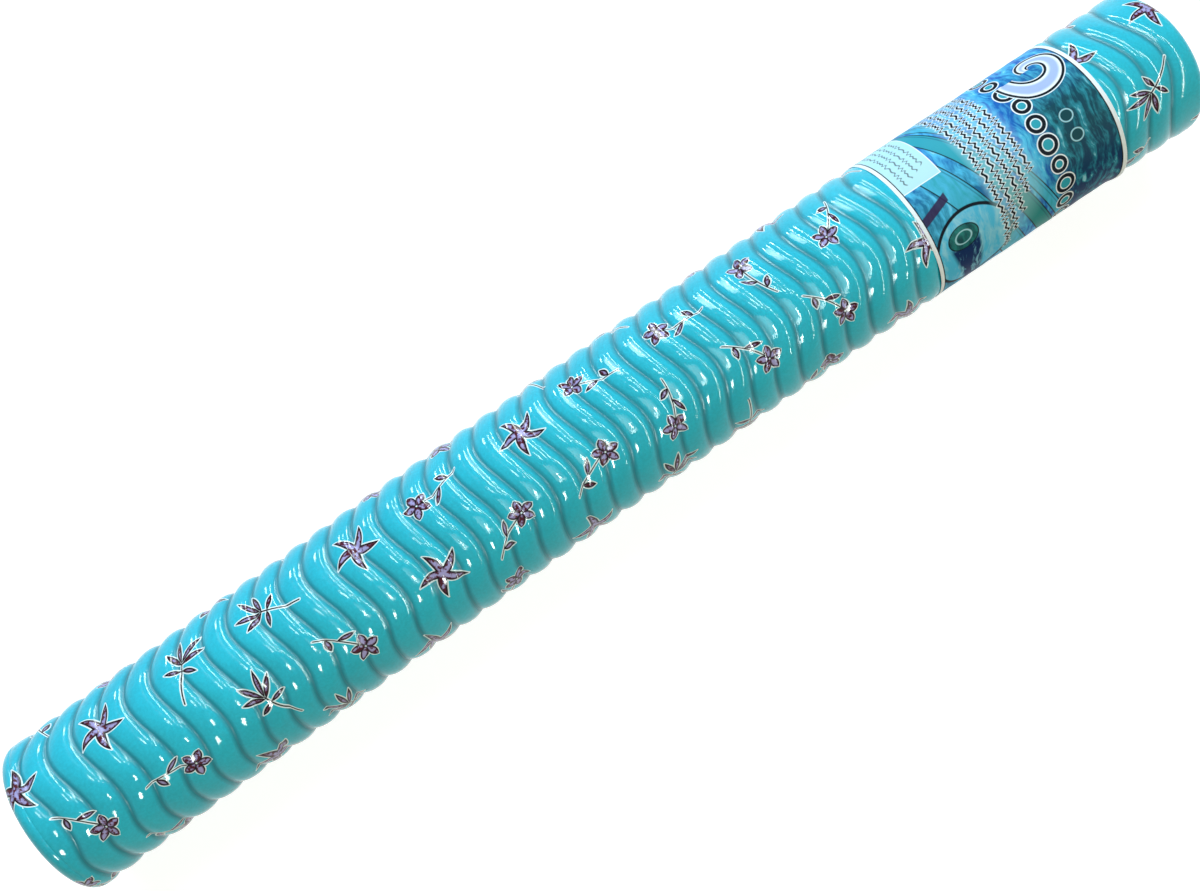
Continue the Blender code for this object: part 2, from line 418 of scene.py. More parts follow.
def vectorOf(tree, *fields):
    # a vector socket from three fields or numbers
    node = tree.nodes.new("ShaderNodeCombineXYZ")
    for slot, value in zip(node.inputs, fields):
        feed(tree, slot, value)
    return node.outputs[0]


def mixColors(tree, share, first, second):
    # a colour between two, each a tuple or a socket, by a field
    node = tree.nodes.new("ShaderNodeMix")
    node.data_type = "RGBA"
    for index, value in ((0, share), (6, first), (7, second)):
        feed(tree, node.inputs[index], value)
    return node.outputs[2]


def placeGroup(tree, group, **values):
    # the fields that a group gives in a material, with the material's own values on its inputs
    node = tree.nodes.new("ShaderNodeGroup")
    node.node_tree = group
    for key, value in values.items():
        feed(tree, node.inputs[key], value)
    return {socket.name: Field(tree, socket) for socket in node.outputs}


def newMaterial(name, roughness, **sockets):
    # a material, its tree and its shader. Sockets go by name, with _ for a space
    material = bpy.data.materials.new(name)
    material.use_nodes = True
    shader = material.node_tree.nodes["Principled BSDF"]
    for key, value in (("Roughness", roughness), *sockets.items()):
        feed(material.node_tree, shader.inputs[key.replace("_", " ")], value)
    return material, material.node_tree, shader


def addBump(tree, shader, height, settings):
    # fine texture only: the shapes that are seen as shapes are in the meshes
    bump = tree.nodes.new("ShaderNodeBump")
    values = {"Strength": settings["bump"], "Distance": settings["bumpDepth"], "Height": height}
    for key, value in values.items():
        feed(tree, bump.inputs[key], value)
    feed(tree, shader.inputs["Normal"], bump.outputs[0])


def makeGrain():
    # fine grain of dipped or moulded plastic: small pebbles over slow waves, and slow and fine mottling
    inputs = [("Pebbles", 900.0), ("Waves", 140.0), ("Wave Share", 0.5)]
    outputs = [(name, "Float") for name in ("Height", "Mottle", "Specks")]
    tree, source, sink = newGroup("plasticGrain", inputs, outputs)
    place = tree.nodes.new("ShaderNodeTexCoord").outputs["Object"]
    pebbles = texture(tree, "Noise", place, Field(tree, source.outputs["Pebbles"]), Detail=2.0, Roughness=0.6)
    waves = texture(tree, "Noise", place, Field(tree, source.outputs["Waves"]), Detail=1.0)
    mottle = texture(tree, "Noise", place, 14.0, Detail=3.0, Roughness=0.6)
    height = pebbles + waves * Field(tree, source.outputs["Wave Share"])
    for label, field in (("Height", height), ("Mottle", mottle), ("Specks", pebbles)):
        feed(tree, sink.inputs[label], field)
    return tree


grainGroup = makeGrain()


# The scattered print: sprigs of blossom, palm tufts and sea stars, one in each cell of a slanting lattice
sprigs = {
    "cellLong": 82.0,        # millimetres along the noodle
    "cellsRound": 7,
    "slantShare": 3 / 7,     # how far each row is pushed along, so that the rows close round the noodle
    "jitterLong": 16.0,      # how far a motif may lie from the middle of its cell
    "jitterRound": 7.0,
    "drawNumber": 4.5,       # another number scatters the motifs anew
    "tuftFrom": 0.46,        # share of the draws below which a cell has a blossom, then a tuft up to starFrom
    "starFrom": 0.78,
    "lineWidth": 1.0,
    "haloWidth": 0.85,
    "plum": (0.085, 0.003, 0.016),
    "lilac": (0.40, 0.36, 0.66),
    "line": (0.006, 0.001, 0.004),
    "halo": (0.80, 0.92, 0.95),
    "sizes": (1.10, 1.30),
    "printedTo": 0.583,      # the ends' faces carry no print
}
cellRound = 2000 * math.pi * noodle["crestRadius"] / sprigs["cellsRound"]


def leaf(px, py, startX, startY, angle, length, width, fullness=1.0):
    # distance outside a leaf: a line from a start point, as wide as a parabola 4h(1-h) of its share h along,
    # raised to a power
    ux, uy = math.cos(angle), math.sin(angle)
    dx, dy = px - startX, py - startY
    along = (dx * ux + dy * uy) / length
    across = (dy * ux - dx * uy).abs()
    share = along.calc("ADD", along, 0.0, clamp=True)
    over = (along - share) * length
    swell = share * (1 - share) * 4
    return across.long(over) - swell.calc("POWER", swell, fullness) * width


def stem(px, py, startX, endX, width):
    # distance outside a straight stem along x
    over = (px - startX).least(0.0) + (px - endX).most(0.0)
    return py.abs().long(over) - width


def printMasks():
    # masks of the motifs: ink, its dark line, the pale halo round it and where it is pale inside. A motif is
    # the least of its parts' distances, in its cell's own turned and scaled coordinates
    outputs = [(name, "Float") for name in ("Ink", "Line", "Halo", "Shade")]
    tree, _, sink = newGroup("scatteredSprigs", outputs=outputs)
    along, about = surfaceMap(tree, "print")
    row = (about / cellRound).floor()
    rowOf = row.folded(0.0, float(sprigs["cellsRound"]))
    column = along / sprigs["cellLong"] + rowOf * sprigs["slantShare"]
    # the wrapped row keeps the draw alike where the map's two sides meet
    draw = tree.nodes.new("ShaderNodeTexWhiteNoise")
    draw.noise_dimensions = "3D"
    cell = vectorOf(tree, column.floor() + 0.5, rowOf + 0.5, sprigs["drawNumber"])
    feed(tree, draw.inputs["Vector"], cell)
    split = tree.nodes.new("ShaderNodeSeparateColor")
    feed(tree, split.inputs[0], draw.outputs["Color"])
    drawn = [Field(tree, socket) for socket in split.outputs]
    kind = Field(tree, draw.outputs["Value"])
    cellX = (column - column.floor() - 0.5) * sprigs["cellLong"] - (drawn[0] - 0.5) * sprigs["jitterLong"]
    cellY = (about / cellRound - row - 0.5) * cellRound - (drawn[1] - 0.5) * sprigs["jitterRound"]
    turn = drawn[2] * (2 * math.pi)
    small, large = sprigs["sizes"]
    size = kind * (large - small) + small
    px = (cellX * turn.cos() + cellY * turn.sin()) / size
    py = (cellY * turn.cos() - cellX * turn.sin()) / size

    # blossom on a long bent stem, with two small leaves
    bentY = py - (px - 8) * (px - 8) * 0.009
    radius, angle = (px - 11).long(bentY), px.calc("ARCTAN2", bentY, px - 11)
    fifth = 2 * math.pi / 5
    petalTurn = angle.folded(-fifth / 2, fifth / 2)
    petals = leaf(radius * petalTurn.cos(), radius * petalTurn.sin(), 0.6, 0.0, 0.0, 10.0, 3.2, 0.7)
    stalk = stem(px, bentY, -25.0, 8.0, 0.42)
    leaves = leaf(px, bentY, -18.0, 0.0, 0.80, 12.0, 2.0).least(leaf(px, bentY, -10.0, 0.0, -0.75, 12.0, 2.0))
    blossom = petals.least(stalk).least(leaves)

    # palm tuft: a stem and three pairs of blades
    tuftY = (py - px * px * 0.005).abs()
    blades = leaf(px, tuftY, 2.0, 0.0, 0.95, 17.0, 2.0).least(leaf(px, tuftY, 3.0, 0.0, 0.42, 20.0, 2.0))
    tuft = blades.least(leaf(px, tuftY, -2.0, 0.0, 1.75, 12.0, 1.7)).least(stem(px, tuftY, -25.0, 3.0, 0.5))

    # sea star with five bent arms
    starR, starAngle = px.long(py), px.calc("ARCTAN2", py, px)
    armTurn = (starAngle + starR * 0.025).folded(-fifth / 2, fifth / 2)
    star = leaf(starR * armTurn.cos(), starR * armTurn.sin(), -8.0, 0.0, 0.0, 25.0, 2.9)

    distance = blossom.mixed(tuft, kind.above(sprigs["tuftFrom"])).mixed(star, kind.above(sprigs["starFrom"]))
    printed = 1 - (along / 1000).abs().above(sprigs["printedTo"])
    ink = distance.fall(-0.12, 0.12) * printed
    inner = distance.fall(-sprigs["lineWidth"] - 0.15, -sprigs["lineWidth"] + 0.15)
    halo = distance.fall(sprigs["haloWidth"] - 0.2, sprigs["haloWidth"] + 0.1) * printed
    shade = distance.fall(-2.0, -0.8)
    for label, field in (("Ink", ink), ("Line", ink * (1 - inner)), ("Halo", halo), ("Shade", shade)):
        feed(tree, sink.inputs[label], field)
    return tree


printGroup = printMasks()

coat = {
    "colour": (0.017, 0.440, 0.575),
    "pale": (0.024, 0.590, 0.760),
    "deep": (0.012, 0.180, 0.235),  # painted shade down in the grooves
    "mottleShare": 0.4,      # how far the slow and the fine mottling take the colour to the pale one
    "speckShare": 0.5,
    "grooveShadeShare": 0.85,
    "roughness": 0.06,
    "roughSwing": 0.06,
    "dulling": 0.25,         # the grooves are duller than the crests
    "bump": 0.36,
    "bumpDepth": 0.00016,
    "ior": 1.27,
    "grain": {"Pebbles": 420.0, "Waves": 110.0, "Wave Share": 1.0},
    "outerSteps": (11, 7, 7, 6),  # rows in a rib, an end band, a rim and an end face
    "innerSteps": (2, 2, 3, 3),
    "bandHeights": (0.475, 0.475, 0.05),  # of the export's map: plain half, label half and inside
}


def coatMaterial():
    # mottled turquoise, duller down in the grooves and with shade painted darker there, with the print over
    # it
    material, tree, shader = newMaterial("printedVinyl", coat["roughness"], IOR=coat["ior"])
    grain = placeGroup(tree, grainGroup, **coat["grain"])
    mottle, specks = grain["Mottle"], grain["Specks"]
    attribute = tree.nodes.new("ShaderNodeAttribute")
    attribute.attribute_name = "groove"
    groove = Field(tree, attribute.outputs["Fac"])
    paling = mottle.rise(0.35, 0.75) * coat["mottleShare"] + specks.rise(0.35, 0.75) * coat["speckShare"]
    base = mixColors(tree, paling, coat["colour"], coat["pale"])
    # painted shade: the colour goes darker towards the bottom of each groove
    base = mixColors(tree, groove.rise(0.45, 1.0) * coat["grooveShadeShare"], base, coat["deep"])
    masks = placeGroup(tree, printGroup)
    ink, line, halo, shade = (masks[name] for name in ("Ink", "Line", "Halo", "Shade"))
    place = tree.nodes.new("ShaderNodeTexCoord").outputs["Object"]
    patches = texture(tree, "Noise", place, 300.0, Detail=2.0)
    lit = shade * patches.rise(0.42, 0.52)
    inkColour = mixColors(tree, lit, sprigs["plum"], sprigs["lilac"])
    inkColour = mixColors(tree, line, inkColour, sprigs["line"])
    base = mixColors(tree, halo, base, sprigs["halo"])
    base = mixColors(tree, ink, base, inkColour)
    feed(tree, shader.inputs["Base Color"], base)
    rough = mottle.rise(0.3, 0.8) * coat["roughSwing"] + (coat["roughness"] - coat["roughSwing"] / 2)
    rough = rough + groove.rise(0.6, 1.0) * coat["dulling"]
    feed(tree, shader.inputs["Roughness"], rough)
    addBump(tree, shader, grain["Height"], coat)
    return material


def makeCoat():
    # the dipped coat: its ribbed outside, in through the plug's hole, and back along its inside
    half, rim, crest = noodle["halfLength"], noodle["rimRadius"], noodle["crestRadius"]
    wall = noodle["coatWall"]
    angles = np.linspace(-np.pi, np.pi, noodle["around"], endpoint=False)
    outer = outlineRows(0.0, *coat["outerSteps"], noodle["holeRadius"])
    inner = outlineRows(wall, *coat["innerSteps"], noodle["holeRadius"])
    outside = noodlePoints(*outer, 0.0, angles)
    inside = noodlePoints(*inner, wall, angles)[::-1]
    points = np.concatenate([outside, inside])
    middle = noodle["axisHeight"]
    poleOut = np.array([-half, bowAt(-half), middle])
    poleIn = np.array([wall - half, bowAt(half - wall), middle])
    mesh, row, col = gridMesh("vinylCoat", points, poleStart=poleOut, poleEnd=poleIn)
    # print coordinates: metres along, running on over the rims and faces, and metres round at the crests
    places, radii, ribShare = outer
    side = np.sign(places)
    overRim = half - rim + rim * np.arcsin(np.clip((np.abs(places) - half + rim) / rim, 0, 1))
    overFace = half - rim + rim * np.pi / 2 + (crest - rim - radii)
    running = side * np.where(radii < crest - rim, overFace, overRim)
    grid = np.where(ribShare[:, None] > 0, outside[:, :, 0], running[:, None])
    lowPole = np.full((1, len(angles)), running[0] - radii[0])
    unprinted = np.full((len(inside) + 1, len(angles)), 2.0)
    grid = np.concatenate([lowPole, grid, unprinted])
    roundShare = col / len(angles)
    alongPrint = grid[row + 1, col.astype(int) % len(angles)]
    addUvs(mesh, "print", alongPrint, (roundShare - 0.5) * 2 * np.pi * crest)
    lastOuter = len(outside) - 1
    steps = np.hypot(np.diff(places), np.diff(radii))
    measure = np.cumsum(np.concatenate([[0, radii[0]], steps, np.full(len(inside) + 1, 0.01)]))
    split = int(np.searchsorted(measure, measure[lastOuter + 1] / 2)) - 1
    bakeBands(mesh, row, roundShare, measure, [-1, split, lastOuter, len(points)], coat["bandHeights"])
    # how deep in a groove each point lies, for the material's painted groove shade and duller gloss there
    groove = np.zeros(points.shape[:2])
    groove[:len(outside)] = (ribShare * grooveShare(places))[:, None]
    layer = mesh.attributes.new("groove", "FLOAT", "POINT")
    layer.data.foreach_set("value", np.concatenate([groove.ravel(), [0, 0]]).astype(np.float32))
    piece = addPiece(mesh, coatMaterial(), "vinyl_skin")


makeCoat()
print("coat made")

foam = {
    "colour": (0.50, 0.68, 0.70),
    "cellEdge": (0.40, 0.58, 0.60),
    "cellsPerMetre": 850.0,
    "roughness": 0.92,
    "bump": 0.5,
    "bumpDepth": 0.0004,
    "steps": (4, 3, 3, 3),
    "boreRadius": 0.003,
    "boreDepth": 0.040,
}


def makeFoam():
    # the closed-cell foam bar inside the coat, with the blind hook hole in its label end
    material, tree, shader = newMaterial("closedCellFoam", foam["roughness"])
    place = tree.nodes.new("ShaderNodeTexCoord").outputs["Object"]
    cells = texture(tree, "Voronoi", place, foam["cellsPerMetre"])
    edge = cells.rise(0.1, 0.7)
    feed(tree, shader.inputs["Base Color"], mixColors(tree, edge, foam["cellEdge"], foam["colour"]))
    addBump(tree, shader, cells, foam)
    half, gap = noodle["halfLength"], noodle["foamGap"]
    angles = np.linspace(-np.pi, np.pi, noodle["around"], endpoint=False)
    body = noodlePoints(*outlineRows(gap, *foam["steps"], foam["boreRadius"]), gap, angles)
    floorX = half - gap - foam["boreDepth"]
    bore = body[-1:].copy()
    bore[:, :, 0] = floorX
    middle = noodle["axisHeight"]
    poles = [np.array([x, bowAt(half), middle]) for x in (gap - half, floorX)]
    mesh, _, _ = gridMesh("foamBody", np.concatenate([body, bore]), poleStart=poles[0], poleEnd=poles[1])
    piece = addPiece(mesh, material, "foam_core")


makeFoam()
print("foam made")

dab = {
    "radius": 0.0050,
    "face": 0.0002,          # how far its middle, its edge and its seat lie below the end's face
    "edgeFace": 0.00055,
    "seat": 0.001,
    "stemRadius": 0.0027,
    "stemLength": 0.008,
    "fit": 0.985,            # leaves it clear of the hole
    "wobble": 0.03,
    "domeSteps": 6,
    "around": 48,
    "dark": (0.003, 0.42, 0.50),
    "pale": (0.004, 0.50, 0.57),
    "roughness": 0.2,
    "ior": 1.50,
    "bump": 0.5,
    "bumpDepth": 0.00012,
    "grain": {"Pebbles": 950.0, "Waves": 300.0},
}


def makeDab():
    # the dab of vinyl in the hole: a low dome, lower by the cube of the way out, with a slightly uneven edge,
    # and a stem down the hook hole
    material, tree, shader = newMaterial("vinylDab", dab["roughness"], IOR=dab["ior"])
    grain = placeGroup(tree, grainGroup, **dab["grain"])
    mottle = grain["Mottle"].rise(0.3, 0.7)
    feed(tree, shader.inputs["Base Color"], mixColors(tree, mottle, dab["dark"], dab["pale"]))
    addBump(tree, shader, grain["Height"], dab)
    half = noodle["halfLength"]
    share = np.linspace(0, 1, dab["domeSteps"] + 1)[1:]
    domeX = half - dab["face"] - (dab["edgeFace"] - dab["face"]) * share ** 3
    seatX = half - dab["seat"]
    xs = np.concatenate([[seatX - dab["stemLength"], seatX, seatX], domeX[::-1]])
    thin, wide = dab["stemRadius"], dab["radius"]
    rs = np.concatenate([[thin, thin, wide], (wide * share)[::-1]])
    angles = np.linspace(-np.pi, np.pi, dab["around"], endpoint=False)
    x, angle = np.meshgrid(xs, angles, indexing="ij")
    wobble = 1 + dab["wobble"] * np.sin(3 * angle + 1) * (rs[:, None] > 0.8 * wide)
    r = np.repeat(rs[:, None], len(angles), 1) * wobble * dab["fit"]
    middleY, middleZ = bowAt(half), noodle["axisHeight"]
    points = np.stack([x, middleY - r * np.sin(angle), middleZ + r * np.cos(angle)], -1)
    poles = [np.array([x, middleY, middleZ]) for x in (xs[0], half - dab["face"])]
    mesh, _, _ = gridMesh("vinylDab", points, poleStart=poles[0], poleEnd=poles[1])
    addPiece(mesh, material, "dip_hole_plug")


makeDab()
print("dab made")

# The wrap's own print, in millimetres: along from its plain-end edge, and round from the top towards -Y
art = {
    "width": (wrap["end"] - wrap["start"]) * 1000,
    "margin": 3.4,
    "ruleWidth": 1.0,
    "white": (0.90, 0.93, 0.98),
    "ink": (0.004, 0.007, 0.014),
    "navy": (0.005, 0.026, 0.110),
    "plum": (0.036, 0.017, 0.072),
    "blue": (0.010, 0.126, 0.504),
    "teal": (0.014, 0.168, 0.300),
    "sky": (0.085, 0.520, 0.800),
    "aqua": (0.032, 0.355, 0.455),
    "mist": (0.430, 0.750, 0.850),
    "green": (0.024, 0.240, 0.228),
    "deepTeal": (0.007, 0.058, 0.074),
    "lilac": (0.408, 0.504, 0.912),
    "bands": ((38, 12, "sky"), (72, 8, "aqua"), (90, 4.5, "sky")),  # middle, half width and colour
    "bandSlant": 0.42,
    "panel": (42, -88, -12),  # its end along, and where it starts and ends round
    "pool": (38, 64, 37),    # middle along and round, and radius
    "float": (30, 48, 14.5),
    "bubblesAt": 134,
    "bubbleStep": 20.5,
    "bubbleSize": 8.4,
    "breaker": (168, -50),
    "breakerSize": (17, 34),  # radius of its arm where it is level, and the largest
    "ringsAt": 160,
    "ringsRound": (8.0, 27.0),
    "ringSize": 6,
}


def wrapPicture():
    # streaky water in blues and teals under slanting bands, a pale corner panel, a round pool with a dark
    # float in it, columns of ripples, a line of ringed bubbles and a breaking wave
    tree, _, sink = newGroup("waterPicture", outputs=[("Color", "Color")])
    u, v = surfaceMap(tree, "wrap")
    warp = texture(tree, "Noise", vectorOf(tree, u, v, 0.0), 0.028, Detail=2.0) - 0.5
    flow = vectorOf(tree, u * 0.16 + warp * 5, v * 0.020 - warp * 2, 2.0)
    streak = texture(tree, "Noise", flow, 1.0, Detail=5.0, Roughness=0.6)
    fleck = texture(tree, "Noise", vectorOf(tree, u, v * 0.5, 7.0), 0.22, Detail=3.0)
    shade = streak * 0.7 + fleck * 0.3

    def streaked(low, high, first, second):
        # from one paint to another by the streaks
        return mixColors(tree, shade.rise(low, high), art[first], art[second])

    def laid(colour, share, paint):
        # colour with one of art's paints laid over it
        return mixColors(tree, share, colour, art[paint])

    def drawn(colour, distance, paint, line=1.2, soft=0.35):
        # colour with paint laid where the distance is below zero, over a dark line round it
        edged = laid(colour, distance.fall(line - soft, line + soft), "ink")
        return mixColors(tree, distance.fall(-soft, soft), edged, paint)

    deep = mixColors(tree, u.rise(50.0, 85.0).most(v.fall(-30.0, 10.0)), art["teal"], art["blue"])
    water = laid(deep, shade.rise(0.42, 0.58), "sky")
    right = u.rise(116.0, 146.0)
    murky, night = streaked(0.46, 0.66, "deepTeal", "aqua"), streaked(0.50, 0.64, "navy", "aqua")
    water = mixColors(tree, right * v.rise(-70.0, -5.0) * 0.95, water, murky)
    water = mixColors(tree, right * v.rise(25.0, 70.0) * 0.8, water, night)
    water = laid(water, shade.rise(0.59, 0.66) * 0.6, "mist")

    # slanting bands that move towards +X with the way round. The middle one turns green low on the -Y side
    slant = u - v * art["bandSlant"]
    for middle, width, paint in art["bands"]:
        tone = streaked(0.35, 0.65, "aqua", paint)
        if paint == "aqua":
            tone = laid(tone, v.rise(20.0, 45.0) * 0.9, "green")
        water = drawn(water, (slant - middle).abs() - width, tone)
        fold = (slant - middle - width + 2.2).abs()
        water = laid(water, fold.fall(0.3, 0.9) * 0.45, "navy")

    # short dark bar across the near corner, and the pool with its thick dark rim
    bar = ((v - 20 + u * 0.35).abs() - 4).most(u - 33)
    water = laid(water, bar.fall(-0.4, 0.4) * 0.95, "plum")
    poolU, poolV, poolSize = art["pool"]
    fromPool = (u - poolU).long(v - poolV)
    water = drawn(water, fromPool - poolSize, streaked(0.45, 0.72, "sky", "mist"), line=3.0)

    # the float over its shadow, which gets narrower with the way round
    floatU, floatV, floatSize = art["float"]
    below = v - (floatV + 8)
    shadow = ((u - floatU - below * 0.1).abs() - 15 + below * 0.15).fall(-2.0, 2.0) * below.rise(-6.0, 2.0)
    water = laid(water, shadow * (1 - shade.rise(0.52, 0.60) * 0.7), "navy")
    fromFloat = (u - floatU).long((v - floatV) * 1.35)
    water = drawn(water, fromFloat - floatSize, streaked(0.4, 0.6, "deepTeal", "green"))
    water = laid(water, (fromFloat - 8).abs().fall(0.5, 1.1) * 0.8, "mist")

    # pale corner panel with fine ripples
    panelEnd, panelLow, panelHigh = art["panel"]
    panel = (u - panelEnd).most(v - panelHigh).most(panelLow - v)
    water = laid(water, panel.fall(0.6, 1.0), "white")
    water = laid(water, panel.fall(-0.3, 0.1) * 0.85, "mist")

    def rippled(colour, place, reach, end, phase, core, halo, ink):
        # a column of quick uneven ripples as a dark line in a white glow, up to an end
        beat = (v * 1.25 + (v * 0.23 + phase).sin() * 2 + phase * 5).sin()
        beat = beat * ((v * 0.37 + phase * 2).sin() * 0.35 + 0.65)
        line = (u - place + beat * reach).abs()
        keep = (end - v).rise(0.0, 1.5) * v.rise(panelLow - 2.0, panelLow - 0.5)
        if halo:
            colour = laid(colour, line.fall(halo - 0.7, halo + 0.5) * keep * 0.85, "white")
        return laid(colour, line.fall(core - 0.3, core + 0.3) * keep * ink, "ink")

    for i in range(4):
        water = rippled(water, 12.0 + 7.5 * i, 1.6, -17 - 3.0 * i, 1.0 * i, core=0.7, halo=0, ink=0.75)
    glow = u.rise(62.0, 68.0) * u.fall(108.0, 118.0) * (v + u * 0.9).fall(140.0, 170.0)
    water = laid(water, glow * 0.35, "mist")
    for i in range(5):
        water = rippled(water, 71.0 + 9.3 * i, 2.4, 92 - 15.0 * i, 1.3 * i, core=1.15, halo=2.6, ink=1.0)

    # bubbles in a line, ringed in white and dark
    step = art["bubbleStep"]
    number = (v / step + 0.5).floor()
    size = (number * 2.4).sin() * 0.9 + art["bubbleSize"]
    off = (u - art["bubblesAt"] + (number * 1.7).sin() * 1.2).long(v.folded(-step / 2, step / 2)) - size
    for inner, paint in ((1.3, "white"), (0.2, "ink"), (-3.2, "white"), (-4.2, "aqua")):
        water = laid(water, off.fall(inner - 0.25, inner + 0.25), paint)

    # breaking wave: a spiral arm in lilac with a pale crest, ringed in dark and white
    breakerU, breakerV = art["breaker"]
    levelReach, mostReach = art["breakerSize"]
    waveX, waveY = u - breakerU, v - breakerV
    reach, turn = waveX.long(waveY), waveX.calc("ARCTAN2", waveY, waveX)
    arm = ((reach - turn * 4.2 - levelReach).abs() - (5.6 + turn * 0.8)).most(reach - mostReach)
    water = laid(water, arm.fall(3.0, 3.5), "white")
    water = drawn(water, arm, mixColors(tree, arm.rise(-3.6, -1.0), art["lilac"], art["white"]), line=2.4)

    # two thin rings under it
    for ringV in art["ringsRound"]:
        ring = (u - art["ringsAt"]).long((v - ringV) * 1.1) - art["ringSize"]
        water = laid(water, ring.fall(0.7, 1.5), "deepTeal")
        water = laid(water, ring.abs().fall(0.4, 0.9) * 0.8, "mist")

    # white margins with a dark rule beside each
    edge = u.least(art["width"] - u)
    ruleEnd = art["margin"] + art["ruleWidth"]
    water = laid(water, edge.fall(ruleEnd, ruleEnd + 0.3), "ink")
    water = laid(water, edge.fall(art["margin"], art["margin"] + 0.3), "white")
    feed(tree, sink.inputs["Color"], water)
    return tree


def makeWrap():
    # the printed film, wound once round with its end glued over its start, pulled tight from crest to crest.
    # Its radius dips a little between the crests, by a raised cosine, steps up over the lap, and lifts off
    # the noodle along part of the edge near the noodle's end
    material, tree, shader = newMaterial("wrapFilm", wrap["roughness"], IOR=wrap["ior"])
    feed(tree, shader.inputs["Base Color"], placeGroup(tree, wrapPicture())["Color"])
    grain = placeGroup(tree, grainGroup, **wrap["grain"])
    addBump(tree, shader, grain["Height"], wrap)
    film, endGap = wrap["film"], wrap["endGap"]
    angles = wrap["lapStart"] + np.linspace(0, 2 * np.pi + wrap["lap"], wrap["around"])
    angles = np.concatenate([angles[:1] - endGap, angles, angles[-1:] + endGap])
    places = np.linspace(wrap["end"], wrap["start"], wrap["along"])
    angle, x = np.meshgrid(angles, places, indexing="ij")
    beforeLap = angle - wrap["lapStart"] - 2 * np.pi + wrap["lapRamp"]
    step = film * wrap["lapRise"] * smoothStep(beforeLap / wrap["lapRamp"])
    toEdge = np.minimum(x - wrap["start"], wrap["end"] - x)
    inPitches = (x - waveAt(x, angle) - driftAt(x) - firstGroove) / ribPitch
    dip = wrap["dip"] * (0.5 + 0.5 * np.cos(2 * np.pi * inPitches)) * smoothStep(toEdge / wrap["dipRamp"])
    curl = np.clip(unevenness(x, angle, *wrap["curl"]), 0, wrap["curl"][0])
    curl = curl * (1 - smoothStep(toEdge / wrap["curlRamp"]))
    fromMiddle = np.abs(angle - wrap["liftMiddle"]) / wrap["liftSpan"]
    inLift = 1 - smoothStep((wrap["end"] - x) / wrap["liftReach"])
    lift = wrap["lift"] * (1 - smoothStep(fromMiddle)) * inLift ** wrap["liftPower"]
    radius = wrap["radius"] + step - dip + curl + unevenness(x, angle, *wrap["pucker"]) + lift
    # the section is a thin loop, outside towards the plain end and back inside. Both its ends thin to nothing
    thick = np.full(radius.shape, film)
    thick[[0, -1]] = 0.0
    shells = []
    for across, order in ((0.0, 1), (1.0, -1)):
        r = radius - film / 2 + thick * (0.5 - across)
        y = bowAt(x) - r * np.sin(angle)
        z = np.maximum(noodle["axisHeight"] + r * np.cos(angle), wrap["floorGap"] + film * (1 - across))
        shells.append(np.stack([x, y, z], -1)[:, ::order])
    mesh, row, col = gridMesh("wrapLabel", np.concatenate(shells, 1))
    count = len(places)
    placeOf = np.concatenate([places, places[::-1], places[:1]])
    addUvs(mesh, "wrap", placeOf[col] - wrap["start"], angles[row] * wrap["radius"])
    # the export's map has most of its height for the outside
    turned = np.interp(col, [0, count - 1, count, 2 * count - 1, 2 * count], [0, 0.93, 0.95, 0.99, 1.0])
    bakeBands(mesh, row, turned, np.concatenate([[0], angles - angles[0], [9]]), [0, len(angles) - 1], [1.0])
    loose = bmesh.new()
    loose.from_mesh(mesh)
    bmesh.ops.remove_doubles(loose, verts=loose.verts, dist=1e-6)  # closes the two ends of the strip
    loose.to_mesh(mesh)
    loose.free()
    mesh.set_sharp_from_angle(angle=noodle["sharpAngle"])
    addPiece(mesh, material, "label_sleeve")


makeWrap()
print("wrap made")

# Floor, lamps and camera
stageSet = {
    "floorSize": 60.0,
    "floorColour": (0.45, 0.45, 0.45),
    "floorGlow": 0.80,       # added for the camera and for reflections, so that the floor comes out white
    "glowRise": (0.8, 2.5),  # between these distances the glow goes up to 1, where the lamps' light ends
    "worldLevel": 0.14,      # all round light. The camera and reflections see 1
    "worldTint": (1.0, 1.0, 0.80),
}


def seenDirectly(tree):
    # 1 for the camera and for what metal and glass show, and 0 for the light that falls on the pieces
    path = tree.nodes.new("ShaderNodeLightPath")
    names = ("Is Camera Ray", "Is Glossy Ray", "Is Transmission Ray")
    camera, glossy, transmission = (Field(tree, path.outputs[name]) for name in names)
    return camera.most(glossy).most(transmission)


def makeFloor():
    # a flat sheet whose glow goes up to 1 with the distance from the noodle
    half = stageSet["floorSize"] / 2
    mesh = bpy.data.meshes.new("studioFloor")
    corners = [(-half, -half, 0), (half, -half, 0), (half, half, 0), (-half, half, 0)]
    mesh.from_pydata(corners, [], [(0, 1, 2, 3)])
    floor = newObject("studioFloor", mesh)
    colours = {"Base_Color": stageSet["floorColour"], "Emission_Color": (1, 1, 1)}
    material, tree, shader = newMaterial("floorPaint", 0.9, Specular_IOR_Level=0.1, **colours)
    split = tree.nodes.new("ShaderNodeSeparateXYZ")
    feed(tree, split.inputs[0], tree.nodes.new("ShaderNodeTexCoord").outputs["Object"])
    reach = Field(tree, split.outputs[0]).long(Field(tree, split.outputs[1]))
    glow = reach.rise(*stageSet["glowRise"]) * (1 - stageSet["floorGlow"]) + stageSet["floorGlow"]
    feed(tree, shader.inputs["Emission Strength"], seenDirectly(tree) * glow)
    mesh.materials.append(material)


def makeWorld():
    # even light from all round, which the camera and reflections see as white
    world = bpy.data.worlds.new("studio")
    world.use_nodes = True
    bpy.context.scene.world = world
    tree = world.node_tree
    background = tree.nodes["Background"]
    seen = seenDirectly(tree)
    feed(tree, background.inputs["Color"], mixColors(tree, seen, stageSet["worldTint"], (1.0, 1.0, 1.0)))
    feed(tree, background.inputs["Strength"], seen.most(stageSet["worldLevel"]))


